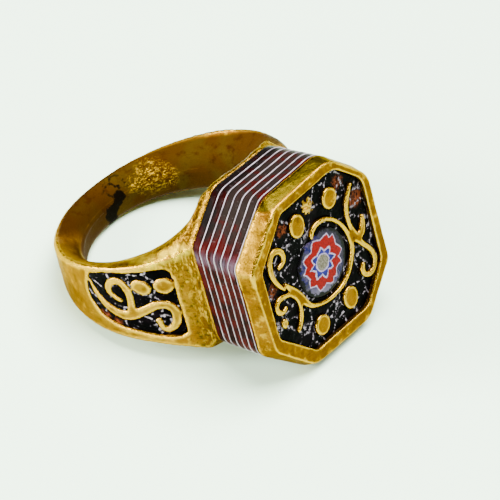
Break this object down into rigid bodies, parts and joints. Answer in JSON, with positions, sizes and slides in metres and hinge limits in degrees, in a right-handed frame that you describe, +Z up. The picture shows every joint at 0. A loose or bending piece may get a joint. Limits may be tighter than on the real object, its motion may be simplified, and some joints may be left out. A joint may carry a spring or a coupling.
{
  "type": "finger ring",
  "caption": "Cast bronze ring lying on its side: tapered band, octagonal head of dark and white layers, cap with raised scrolls, black enamel and a patterned glass disc.",
  "frame": {"origin": "the middle of the underside of the bounding box, on the surface that the ring lies on", "axes": "+X from the band's back towards the head, +Z up; the finger hole leans back from +Z towards -X"},
  "size_m": [0.0304, 0.0241, 0.018],
  "materials": {
    "cast_bronze": "cast bronze, worn bright on the edges with olive-brown patina in the hollows",
    "dark_lamina": "polished dark maroon and black layers with fine scratches",
    "white_line": "thin pale metal line, polished flush",
    "black_enamel": "black enamel, glossy and a little dusty",
    "patterned_glass": "opaque patterned glass, cut and polished with a low dome"
  },
  "bodies": {
    "root": {"shank": "cast_bronze", "dark_plate_1": "dark_lamina", "dark_plate_2": "dark_lamina", "dark_plate_3": "dark_lamina", "dark_plate_4": "dark_lamina", "dark_plate_5": "dark_lamina", "dark_plate_6": "dark_lamina", "dark_plate_7": "dark_lamina", "white_plate_1": "white_line", "white_plate_2": "white_line", "white_plate_3": "white_line", "white_plate_4": "white_line", "white_plate_5": "white_line", "white_plate_6": "white_line", "face_cap": "cast_bronze", "face_enamel": "black_enamel", "glass_disc": "patterned_glass", "near_shoulder_enamel": "black_enamel", "far_shoulder_enamel": "black_enamel"}
  },
  "joints": []
}
